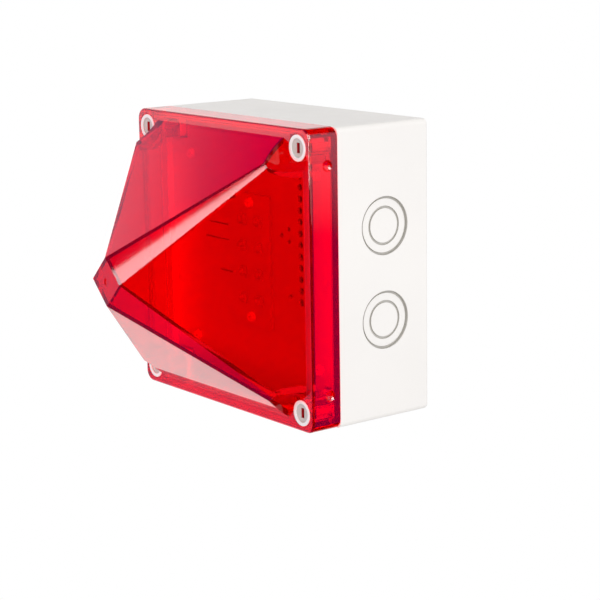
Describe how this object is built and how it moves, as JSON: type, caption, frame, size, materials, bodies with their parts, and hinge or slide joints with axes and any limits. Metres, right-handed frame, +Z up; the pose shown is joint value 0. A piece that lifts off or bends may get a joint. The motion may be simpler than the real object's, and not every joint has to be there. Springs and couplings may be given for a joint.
{
  "type": "alarm beacon",
  "caption": "Square off-white wall box with a transparent red pyramid lens held by corner screws; break-out cable entries on its sides and alarm electronics inside.",
  "frame": {"origin": "centre of the flat wall face", "axes": "+Z up when wall mounted, +X to the right as seen from the front, -Y out of the wall towards the tip of the lens"},
  "size_m": [0.13, 0.125, 0.13],
  "materials": {
    "housing_plastic": "satin moulded, warm off-white",
    "gasket_rubber": "matt grey",
    "board_green": "solder-masked laminate",
    "screw_steel": "zinc plated",
    "terminal_plastic": "moulded",
    "contact_brass": "plain",
    "switch_blue": "moulded",
    "control_white": "moulded",
    "sounder_black": "moulded",
    "capacitor_sleeve": "shrink sleeve",
    "ferrite": "matt",
    "copper_wire": "enamelled",
    "chip_black": "moulded",
    "varistor_blue": "dipped coating",
    "lead_pvc": "soft insulation",
    "plate_white": "bright white moulding",
    "led_board_white": "white solder mask",
    "led_ceramic": "plain",
    "led_silicone": "clear dome",
    "lens_red": "polished transparent red",
    "screw_white": "moulded"
  },
  "bodies": {
    "housing": {"rear_housing": "housing_plastic", "sealing_gasket": "gasket_rubber", "main_circuit_board": "board_green", "board_screws": "screw_steel", "terminal_block": "terminal_plastic", "terminal_cages": "contact_brass", "terminal_clamp_screws": "screw_steel", "mode_switch_body": "switch_blue", "volume_trimmer_body": "switch_blue", "sounder_case": "sounder_black", "sounder_disc": "contact_brass", "smoothing_capacitors": "capacitor_sleeve", "inductor_core": "ferrite", "inductor_winding": "copper_wire", "driver_chips": "chip_black", "rectifier_diodes": "chip_black", "surge_varistor": "varistor_blue", "led_lead_connector": "control_white", "led_supply_wires": "lead_pvc", "inner_plate": "plate_white", "inner_plate_screws": "control_white", "led_board": "led_board_white", "led_board_screws": "control_white", "led_packages": "led_ceramic", "led_domes": "led_silicone"},
    "lens": {"pyramid_lens": "lens_red", "lens_screw_seals": "gasket_rubber"},
    "lens_screw_top_right": {"lens_screw_top_right": "screw_white"},
    "lens_screw_top_left": {"lens_screw_top_left": "screw_white"},
    "lens_screw_bottom_left": {"lens_screw_bottom_left": "screw_white"},
    "lens_screw_bottom_right": {"lens_screw_bottom_right": "screw_white"},
    "mode_slider_1": {"mode_slider_1": "control_white"},
    "mode_slider_2": {"mode_slider_2": "control_white"},
    "mode_slider_3": {"mode_slider_3": "control_white"},
    "mode_slider_4": {"mode_slider_4": "control_white"},
    "volume_rotor": {"volume_rotor": "control_white"}
  },
  "joints": [
    {"name": "lens_lift_off", "type": "slide", "parent": "housing", "child": "lens", "axis": [0, -1, 0], "range_m": [0, 0.09]},
    {"name": "lens_screw_top_right_turn", "type": "hinge", "parent": "lens", "child": "lens_screw_top_right", "pos_m": [0.0568, -0.065, 0.0568], "axis": [0, -1, 0], "range_deg": [0, 90]},
    {"name": "lens_screw_top_left_turn", "type": "hinge", "parent": "lens", "child": "lens_screw_top_left", "pos_m": [-0.0568, -0.065, 0.0568], "axis": [0, -1, 0], "range_deg": [0, 90]},
    {"name": "lens_screw_bottom_left_turn", "type": "hinge", "parent": "lens", "child": "lens_screw_bottom_left", "pos_m": [-0.0568, -0.065, -0.0568], "axis": [0, -1, 0], "range_deg": [0, 90]},
    {"name": "lens_screw_bottom_right_turn", "type": "hinge", "parent": "lens", "child": "lens_screw_bottom_right", "pos_m": [0.0568, -0.065, -0.0568], "axis": [0, -1, 0], "range_deg": [0, 90]},
    {"name": "mode_slider_1_slide", "type": "slide", "parent": "housing", "child": "mode_slider_1", "axis": [0, 0, 1], "range_m": [0, 0.0018]},
    {"name": "mode_slider_2_slide", "type": "slide", "parent": "housing", "child": "mode_slider_2", "axis": [0, 0, 1], "range_m": [0, 0.0018]},
    {"name": "mode_slider_3_slide", "type": "slide", "parent": "housing", "child": "mode_slider_3", "axis": [0, 0, 1], "range_m": [0, 0.0018]},
    {"name": "mode_slider_4_slide", "type": "slide", "parent": "housing", "child": "mode_slider_4", "axis": [0, 0, 1], "range_m": [0, 0.0018]},
    {"name": "volume_turn", "type": "hinge", "parent": "housing", "child": "volume_rotor", "pos_m": [-0.012, -0.015, 0.034], "axis": [0, -1, 0], "range_deg": [0, 270]}
  ]
}
